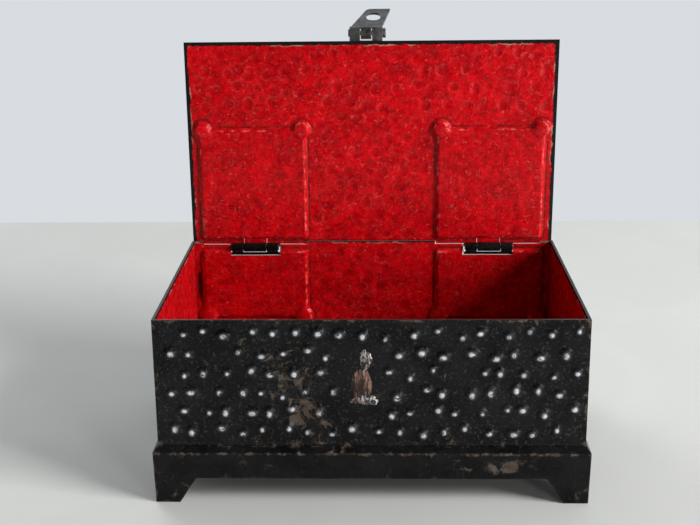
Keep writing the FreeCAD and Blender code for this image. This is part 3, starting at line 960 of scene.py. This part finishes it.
@dataclass(frozen=True)
class Steel(Finish):
    """Grey worn steel, cloudy with light rubs and brown stains."""

    light: Colour = (0.10, 0.098, 0.097, 1.0)
    dull: Colour = (0.018, 0.0175, 0.0175, 1.0)
    stain: Colour = (0.075, 0.045, 0.03, 1.0)
    rubbed: Colour = (0.36, 0.35, 0.34, 1.0)
    metal: float = 0.75
    rough: float = 0.38
    staining: float = 0.45
    edge: float = 0.7 * MM
    swing: Span = (-0.1, 0.14)

    def dress(self, on: Surface) -> Coat:
        """Cloudy grey, then scratches, stains and rubbed edges."""
        mottle = on.group(on.effects.mottle, scale=130.0)
        scratches = on.group(on.effects.scratches, scale=300.0, width=0.03)["Mask"]
        stains = on.group(on.effects.chips, scale=260.0, amount=self.staining)["Mask"]
        colour = on.mix(mottle["Cloud"], self.dull, self.light)
        colour = on.mix(scratches * 0.5, colour, self.light)
        colour = on.mix(stains, colour, self.stain)
        colour = on.mix(on.rub(self.edge) * 0.5, colour, self.rubbed)
        rough = mottle["Fine"].span(*[self.rough + share for share in self.swing]) + stains * 0.25
        return Coat(colour, rough, on.grain(800.0) + scratches * -0.5, (0.4, 0.1 * MM), self.metal)


@dataclass(frozen=True)
class Solder(Finish):
    """Smeared bright solder with brown burnt metal round it."""

    bright: Colour = (0.72, 0.71, 0.71, 1.0)
    burnt: Colour = (0.29, 0.185, 0.145, 1.0)
    black: Colour = (0.022, 0.018, 0.017, 1.0)
    gloss: Span = (0.25, 0.5)
    metal: float = 0.35
    streak: Place = (1.0, 1.0, 0.45)

    def dress(self, on: Surface) -> Coat:
        """Burnt and bright clouds with black lanes."""
        mottle = on.group(on.effects.mottle, scale=260.0)
        drawn = on.vector("MULTIPLY", on.place, self.streak)
        lanes = on.noise(drawn, 640.0, detail=5.0, rough=0.7, twist=1.2).step(0.56, 0.46)
        colour = on.mix(lanes, on.mix(mottle["Cloud"], self.burnt, self.bright), self.black)
        rough = mottle["Fine"].span(*self.gloss)
        return Coat(colour, rough, on.grain(500.0, detail=4.0), (0.5, 0.2 * MM), self.metal)


@dataclass(frozen=True)
class RimMetal(Finish):
    """Cut edge of the sheet: dark with ragged pale bare metal."""

    brown: Colour = (0.12, 0.075, 0.05, 1.0)
    bare: Colour = (0.36, 0.29, 0.24, 1.0)
    cut: Colour = (0.62, 0.58, 0.55, 1.0)
    black: Colour = (0.014, 0.012, 0.012, 1.0)
    gloss: Span = (0.3, 0.6)
    notch: Span = (1.0, 2.0)

    def dress(self, on: Surface) -> Coat:
        """Black flaked to bare metal, pale in the notches."""
        chips = on.group(on.effects.chips, scale=190.0, amount=0.38)["Mask"]
        mottle = on.group(on.effects.mottle, scale=200.0)
        colour = on.mix(chips, self.black, on.mix(mottle["Cloud"], self.brown, self.bare))
        colour = on.mix(on.stored("rim").step(*self.notch), colour, self.cut)
        return Coat(colour, mottle["Fine"].span(*self.gloss), on.grain(700.0))


@dataclass(frozen=True)
class TableTop(Finish):
    """Pale smooth table with faint cloudiness."""

    low: Colour = (0.67, 0.675, 0.645, 1.0)
    high: Colour = (0.71, 0.715, 0.685, 1.0)
    gloss: Span = (0.5, 0.56)
    shine: float = 0.12

    def dress(self, on: Surface) -> Coat:
        """Two close greys in clouds."""
        mottle = on.group(on.effects.mottle, scale=6.0)
        colour = on.mix(mottle["Cloud"], self.low, self.high)
        return Coat(colour, mottle["Fine"].span(*self.gloss), shine=self.shine)


@dataclass
class Wardrobe:
    """Every finish of the casket, made once."""

    effects: Effects

    def __post_init__(self) -> None:
        """Makes the materials."""
        made = self.effects
        self.black_sheet = BlackPaint("black_sheet_paint", Wear.SHEET).make(made)
        self.black_plinth = BlackPaint("black_plinth_paint", Wear.PLINTH).make(made)
        self.black_leaf = BlackPaint("black_leaf_paint", Wear.LEAF).make(made)
        self.red_sheet = RedPaint("red_sheet_paint").make(made)
        self.red_floor = RedPaint("red_floor_paint", has_rim=False).make(made)
        self.rim = RimMetal("rim_metal").make(made)
        self.hasp = Steel("hasp_steel", metal=0.45, rough=0.42).make(made)
        self.pin = Steel("pin_steel", light=(0.3, 0.28, 0.26, 1.0), rough=0.34, staining=0.55).make(made)
        self.solder = Solder("staple_solder_smear").make(made)
        self.table = TableTop("pale_table").make(made)

    @property
    def sheet(self) -> list[Material]:
        """Materials of a hammered sheet in the order of Skin."""
        return [self.black_sheet, self.red_sheet, self.rim]


@dataclass(frozen=True)
class Region:
    """Faces of a piece that look one way and lie between two heights."""

    facing: Vector
    low: float
    high: float
    least: float = 0.5

    def holds(self, polygon: MeshPolygon) -> bool:
        """Whether a face belongs to the region."""
        return polygon.normal.dot(self.facing) > self.least and self.low < polygon.center.z < self.high


@dataclass
class Softened:
    """Copy of a CAD node with its points joined and its edges rounded a little."""

    node: str
    body: Body
    slot: Slot
    edge: float
    cad: dict[str, Object]
    weld: float = 0.002 * MM
    flat: float = math.radians(1)
    sharp: float = math.radians(40)
    segments: int = 2

    def build(self, material: Material, other: Material | None = None,
              region: Region | None = None) -> Object:
        """Makes the copy and lets it stand for the node.

        Args:
            material: Finish of the piece.
            other: Second finish, for the faces of one region.
            region: Which faces those are.

        Returns:
            The new piece.
        """
        mesh = self.cad[self.node].data.copy()
        mesh.materials.clear()
        work = bmesh.new()
        work.from_mesh(mesh)
        bmesh.ops.remove_doubles(work, verts=work.verts, dist=self.weld)
        bmesh.ops.dissolve_limit(work, angle_limit=self.flat, verts=work.verts, edges=work.edges)
        bmesh.ops.recalc_face_normals(work, faces=work.faces)
        work.to_mesh(mesh)
        work.free()
        mesh.materials.append(material)
        if other is not None:
            mesh.materials.append(other)
        for polygon in mesh.polygons:
            polygon.material_index = int(region is not None and region.holds(polygon))
        shade_smooth(mesh)
        mesh.set_sharp_from_angle(angle=self.sharp)
        piece = bpy.data.objects.new(f"{self.node}_worn", mesh)
        rounded = piece.modifiers.new("worn_edges", "BEVEL")
        rounded.width = self.edge
        rounded.segments = self.segments
        rounded.limit_method = "ANGLE"
        rounded.angle_limit = self.sharp
        rounded.harden_normals = True
        return settle(piece, self.body, self.slot, self.node)


@dataclass
class Lathe:
    """Round mesh turned about an axis from a profile of (radius, height)."""

    profile: list[Span]
    sides: int = 28

    def add(self, work: BMesh, centre: Vector, axis: Vector) -> None:
        """Adds the turned shape to a mesh.

        Args:
            work: Mesh that receives it.
            centre: Point where the profile's height is 0.
            axis: Direction of the profile's height.
        """
        turn = axis.to_track_quat("Z", "Y").to_matrix()
        angles = [2 * math.pi * i / self.sides for i in range(self.sides)]
        rings: list[list[BMVert]] = []
        for radius, height in self.profile:
            spots = [Vector((radius * math.cos(a), radius * math.sin(a), height))
                     for a in (angles if radius else angles[:1])]
            rings.append([work.verts.new(centre + turn @ spot) for spot in spots])
        for low, high in zip(rings, rings[1:]):
            for i in range(self.sides):
                j = (i + 1) % self.sides
                corners = [low[i % len(low)], low[j % len(low)], high[j % len(high)], high[i % len(high)]]
                unique = list(dict.fromkeys(corners))
                if len(unique) > 2:
                    work.faces.new(unique)


def dome_profile(radius: float, rise: float, root: float, rings: int = 6, neck: float = 0.8) -> list[Span]:
    """Profile of a rounded head that stands on a short root below the surface."""
    profile = [(0.0, -root), (neck * radius, -root), (radius, 0.0)]
    for i in range(1, rings):
        angle = math.pi / 2 * i / rings
        profile.append((radius * math.cos(angle), rise * math.sin(angle)))
    profile.append((0.0, rise))
    return profile


def finish_mesh(name: str, work: BMesh, material: Material, sharp: float = math.radians(50)) -> Object:
    """Turns a bmesh into a smooth object with one material."""
    bmesh.ops.recalc_face_normals(work, faces=work.faces)
    mesh = bpy.data.meshes.new(name)
    work.to_mesh(mesh)
    work.free()
    mesh.materials.append(material)
    shade_smooth(mesh)
    mesh.set_sharp_from_angle(angle=sharp)
    return bpy.data.objects.new(name, mesh)


@dataclass
class Assembly:
    """Pieces that belong together, made from the CAD nodes and dressed from the wardrobe."""

    cad: dict[str, Object]
    wardrobe: Wardrobe

    def build(self) -> None:
        """Makes the pieces."""
        raise NotImplementedError


@dataclass
class Walls(Assembly):
    """The four hammered walls and the floor sheet."""

    seed_step: float = 1.7
    floor_edge: float = 0.1 * MM
    upper: Region = Region(Vector((0, 0, 1)), 0.0, 1.0)

    def build(self) -> None:
        """Makes the walls and the floor."""
        low = -(SIZES.rim - SIZES.wall_foot) / math.cos(SIZES.lean)
        for number, side in enumerate(("front", "left", "right", "back")):
            half = SIZES.half_width if side in ("front", "back") else SIZES.half_depth
            sheet = HammeredSheet(f"{side}_wall", wall_face(side), Body.BASE, low, half,
                                  flare=SIZES.flare, seed=self.seed_step * number)
            if side == "back":
                for end in (-1, 1):
                    middle = end * SIZES.hinge_half
                    sheet.panels.append(Panel(middle, SIZES.body_leaf))
                    sheet.notches.append((middle, SIZES.notch_half, SIZES.notch_depth))
                    sheet.notches.append((middle, SIZES.relief_half, SIZES.relief_depth))
            sheet.build(self.cad[sheet.node], self.wardrobe.sheet)
        floor = Softened("floor_panel", Body.BASE, Slot.RED, self.floor_edge, self.cad)
        floor.build(self.wardrobe.black_leaf, self.wardrobe.red_floor, self.upper)


@dataclass
class Plinth(Assembly):
    """Skirt of four strips with bracket feet."""

    edge: float = 0.35 * MM

    def build(self) -> None:
        """Makes the four strips."""
        for side in ("front", "back", "left", "right"):
            strip = Softened(f"plinth_{side}", Body.BASE, Slot.BLACK, self.edge, self.cad)
            strip.build(self.wardrobe.black_plinth)


@dataclass
class Lid(Assembly):
    """Hammered lid sheet with its two pressed hinge panels."""

    seed: float = 5.2
    step: float = 0.6 * MM
    notch_short: float = 1.2 * MM

    def build(self) -> None:
        """Makes the lid sheet."""
        sheet = HammeredSheet("lid_panel", lid_face(), Body.LID, -2 * SIZES.half_depth, SIZES.half_width,
                              seed=self.seed, step=self.step, painted_notches=True)
        for end in (-1, 1):
            middle = end * SIZES.hinge_half
            sheet.panels.append(Panel(middle, SIZES.lid_leaf))
            sheet.notches.append((middle, SIZES.neck_half, SIZES.panel_start - self.notch_short))
        sheet.build(self.cad["lid_panel"], self.wardrobe.sheet)


@dataclass
class Hinges(Assembly):
    """Leaves, pins and rivets of the two lid hinges."""

    leaf_edge: float = 0.18 * MM
    pin_edge: float = 0.12 * MM
    rivet_root: float = 1.6 * MM
    neck: Region = Region(Vector((0, -1, 0)), 74.3 * MM, 200.0 * MM)

    def build(self) -> None:
        """Makes both hinges."""
        for name, end in (("left", -1), ("right", 1)):
            for part, body in (("lid", Body.LID), ("body", Body.BASE)):
                leaf = Softened(f"{name}_hinge_{part}_leaf", body, Slot.BLACK, self.leaf_edge, self.cad)
                inward = (self.wardrobe.red_floor, self.neck) if part == "lid" else ()
                leaf.build(self.wardrobe.black_leaf, *inward)
                self.rivets(name, end, part, body)
            pin = Softened(f"{name}_hinge_pin", Body.BASE, Slot.BARE, self.pin_edge, self.cad)
            pin.build(self.wardrobe.pin)

    def rivets(self, name: str, end: int, part: str, body: Body) -> None:
        """Makes the two rivets of one leaf.

        Args:
            name: Which hinge, left or right.
            end: -1 for the left hinge and 1 for the right one.
            part: Sheet that the leaf lies on, lid or body.
            body: Body that carries the rivets.
        """
        on_lid = part == "lid"
        face = lid_face() if on_lid else wall_face("back")
        middle = end * SIZES.hinge_half * (1 if on_lid else -1)
        head = Lathe(dome_profile(SIZES.rivet_radius, SIZES.rivet_rise, self.rivet_root))
        work = bmesh.new()
        for x, y in ear_spots(middle, SIZES.lid_leaf if on_lid else SIZES.body_leaf):
            head.add(work, face.point(x, y, SIZES.leaf - SIZES.press), face.out)
        node = f"{name}_hinge_{part}_rivets"
        piece = finish_mesh(f"{node}_domed", work, self.wardrobe.black_leaf)
        settle(piece, body, Slot.BLACK, node)


@dataclass
class Hasp(Assembly):
    """Hasp leaf on the lid, its pin and the slotted strap."""

    leaf_edge: float = 0.2 * MM
    pin_edge: float = 0.25 * MM
    strap_edge: float = 0.22 * MM

    def build(self) -> None:
        """Makes the three pieces."""
        steel, pin = self.wardrobe.hasp, self.wardrobe.pin
        for node, body, edge, material in (
            ("hasp_lid_leaf", Body.LID, self.leaf_edge, steel),
            ("hasp_pin", Body.LID, self.pin_edge, pin),
            ("hasp_strap", Body.HASP, self.strap_edge, steel),
        ):
            Softened(node, body, Slot.WORN, edge, self.cad).build(material)


@dataclass(frozen=True)
class Smear:
    """Lump of solder: place up the wall, half sizes, rise and turn of its outline."""

    up: float
    wide: float
    tall: float
    rise: float
    turn: float


@dataclass
class StapleScar(Assembly):
    """Two smears of solder on the front wall."""

    middle: float = -1.8 * MM
    smears: tuple[Smear, ...] = (
        Smear(-16.0 * MM, 2.3 * MM, 4.2 * MM, 0.6 * MM, 1.0),
        Smear(-32.2 * MM, 5.3 * MM, 2.1 * MM, 0.5 * MM, 4.0),
    )
    rings: int = 9
    sides: int = 48
    lobes: tuple[tuple[int, float, int], ...] = ((3, 0.13, 1), (7, 0.09, 2), (13, 0.05, 0))
    lumpiness: float = 0.18
    lump_waves: tuple[int, int] = (5, 6)
    fall: float = 0.8
    sunk: float = 0.08 * MM
    weld: float = 0.5 * MM

    def build(self) -> None:
        """Makes both smears as one piece."""
        work = bmesh.new()
        for smear in self.smears:
            self.add(work, smear)
        piece = finish_mesh("staple_solder_smears", work, self.wardrobe.solder)
        settle(piece, Body.BASE, Slot.SOLDER, "staple_solder")

    def point(self, smear: Smear, share: float, angle: float) -> Vector:
        """Point of a smear's skin.

        Args:
            smear: Which lump.
            share: From 0 in its middle to 1 at its outline.
            angle: Direction from its middle.

        Returns:
            The point in the shared frame.
        """
        out = share * (1.0 + sum(deep * math.sin(count * angle + turns * smear.turn)
                                 for count, deep, turns in self.lobes))
        round_it, outward = self.lump_waves
        lump = 1.0 + self.lumpiness * math.sin(round_it * angle + outward * share + smear.turn)
        height = smear.rise * (1 - share ** 2) ** self.fall * lump - self.sunk
        x = self.middle + smear.wide * out * math.cos(angle)
        y = smear.up + smear.tall * out * math.sin(angle)
        return wall_face("front").point(x, y, height)

    def add(self, work: BMesh, smear: Smear) -> None:
        """Adds one lump with a ragged outline."""
        angles = [2 * math.pi * side / self.sides for side in range(self.sides)]
        shares = [ring / self.rings for ring in range(self.rings + 1)]
        grid = [[work.verts.new(self.point(smear, share, angle)) for angle in angles] for share in shares]
        for low, high in zip(grid, grid[1:]):
            for side in range(self.sides):
                after = (side + 1) % self.sides
                work.faces.new([low[side], low[after], high[after], high[side]])
        bmesh.ops.remove_doubles(work, verts=grid[0], dist=self.weld)
        work.faces.new(list(reversed(grid[-1])))


@dataclass(frozen=True)
class Lamp:
    """Soft square light: name, place, width in metres and power in watts."""

    name: str
    place: Place
    size: float
    power: float


@dataclass
class Studio:
    """Pale table, soft light and the camera."""

    table: Material
    eye: Place = (0.003064, -0.40927, 0.22227)
    pitch: float = 0.3464
    yaw: float = 0.0292
    roll: float = 0.0123
    lens: float = 53.26
    sensor: float = 36.0
    clip: float = 0.01
    far: float = 0.292
    near: float = -0.95
    side: float = 2.0
    aim: Place = (0.0, 0.0, 0.06)
    dim: Colour = (0.06, 0.06, 0.063, 1.0)
    pale: Colour = (0.69, 0.72, 0.76, 1.0)
    dusk: Span = (-0.35, 0.55)
    lamps: tuple[Lamp, ...] = (
        Lamp("key", (1.50, -0.60, 0.92), 0.70, 38.0),
        Lamp("window", (0.80, -1.20, 0.19), 0.26, 6.0),
        Lamp("rear", (-0.80, 1.0, 0.90), 0.60, 5.0),
    )

    def build(self) -> None:
        """Sets the stage."""
        self.floor()
        self.camera()
        for lamp in self.lamps:
            self.light(lamp)
        self.room()
        bpy.context.scene.view_settings.view_transform = "Standard"

    def room(self) -> None:
        """Surrounds the table with a pale room that is dim on the viewer's side."""
        world = bpy.data.worlds.new("pale_room")
        world.use_nodes = True
        graph = Graph(world.node_tree)
        ground = world.node_tree.nodes["Background"]
        ahead = graph.split(graph.made("ShaderNodeTexCoord", "Generated", {}), 1)
        sky = graph.mix(ahead.step(*self.dusk), self.dim, self.pale)
        graph.tree.links.new(sky.socket, ground.inputs["Color"])
        bpy.context.scene.world = world

    def floor(self) -> None:
        """Lays the table up to its far edge."""
        mesh = bpy.data.meshes.new("table")
        corners = [(-self.side, self.near, 0.0), (self.side, self.near, 0.0),
                   (self.side, self.far, 0.0), (-self.side, self.far, 0.0)]
        mesh.from_pydata(corners, [], [(0, 1, 2, 3)])
        mesh.materials.append(self.table)
        table = bpy.data.objects.new("table", mesh)
        link(table)

    def camera(self) -> None:
        """Sets the camera to the photograph's viewing angle."""
        camera = bpy.data.objects.new("camera", bpy.data.cameras.new("camera"))
        camera.data.lens = self.lens
        camera.data.sensor_width = self.sensor
        camera.data.clip_start = self.clip
        flat = math.cos(self.pitch)
        ahead = Vector((-math.sin(self.yaw) * flat, math.cos(self.yaw) * flat, -math.sin(self.pitch)))
        level = Vector((math.cos(self.yaw), math.sin(self.yaw), 0.0))
        upright = level.cross(ahead)
        right = level * math.cos(self.roll) - upright * math.sin(self.roll)
        top = upright * math.cos(self.roll) + level * math.sin(self.roll)
        turn = Matrix((right, top, -ahead)).transposed().to_4x4()
        camera.matrix_world = Matrix.Translation(self.eye) @ turn
        link(camera)
        bpy.context.scene.camera = camera

    def light(self, lamp: Lamp) -> None:
        """Adds one soft light that faces the casket."""
        made = bpy.data.lights.new(lamp.name, "AREA")
        made.shape = "SQUARE"
        made.size = lamp.size
        made.energy = lamp.power
        holder = bpy.data.objects.new(lamp.name, made)
        holder.location = lamp.place
        toward = Vector(self.aim) - Vector(lamp.place)
        holder.rotation_euler = toward.to_track_quat("-Z", "Y").to_euler()
        link(holder)


def main() -> None:
    """Dresses the frame and sets the stage."""
    logging.basicConfig(level=logging.INFO, format="%(name)s %(message)s")
    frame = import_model()
    cad = frame["nodes"]
    wardrobe = Wardrobe(Effects())
    for assembly in (Walls, Plinth, Lid, Hinges, Hasp, StapleScar):
        assembly(cad, wardrobe).build()
    Studio(wardrobe.table).build()


if __name__ == "__main__":
    main()
